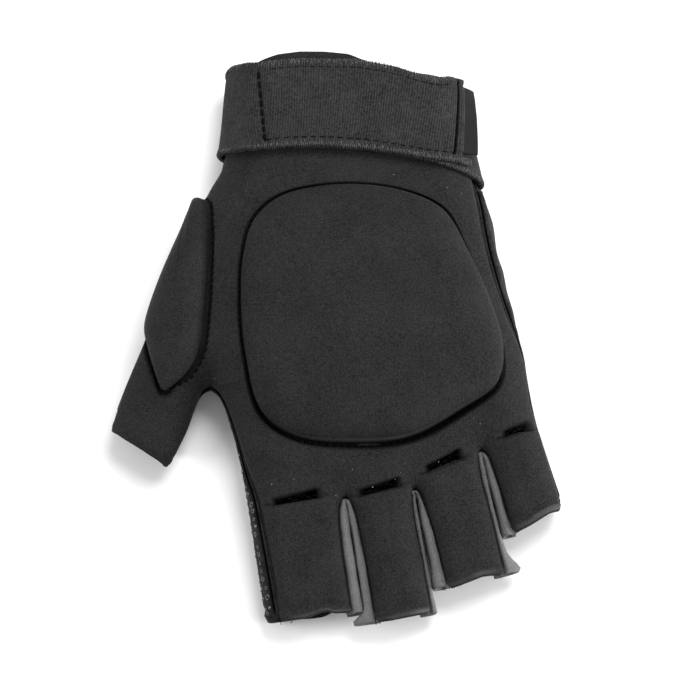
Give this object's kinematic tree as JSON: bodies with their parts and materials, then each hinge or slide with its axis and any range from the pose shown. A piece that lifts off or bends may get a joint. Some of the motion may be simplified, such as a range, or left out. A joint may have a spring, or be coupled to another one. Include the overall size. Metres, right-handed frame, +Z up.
{
  "type": "half-finger field hockey glove",
  "caption": "Left-hand field hockey glove with open finger ends, raised foam pads on the back and a ribbed elastic wrist strap.",
  "frame": {"origin": "middle of the footprint, on the surface that the palm rests on", "axes": "+Z up out of the back of the hand, +Y towards the wrist, +X towards the little finger's side"},
  "size_m": [0.1514, 0.1958, 0.0334],
  "materials": {
    "neoprene": "matt knitted nylon over foam",
    "palm_suede": "fine suede with small glossy grip dots",
    "grey_lycra": "matt stretch knit",
    "ribbed_elastic": "matt ribbed weave",
    "woven_label": "satin weave"
  },
  "bodies": {
    "root": {"back_panel": "neoprene", "palm_panel": "palm_suede", "fourchette_index_middle": "grey_lycra", "fourchette_middle_ring": "grey_lycra", "fourchette_ring_little": "grey_lycra", "hand_pad": "neoprene", "thumb_pad": "neoprene", "wrist_strap": "ribbed_elastic", "strap_label": "woven_label"}
  },
  "joints": []
}
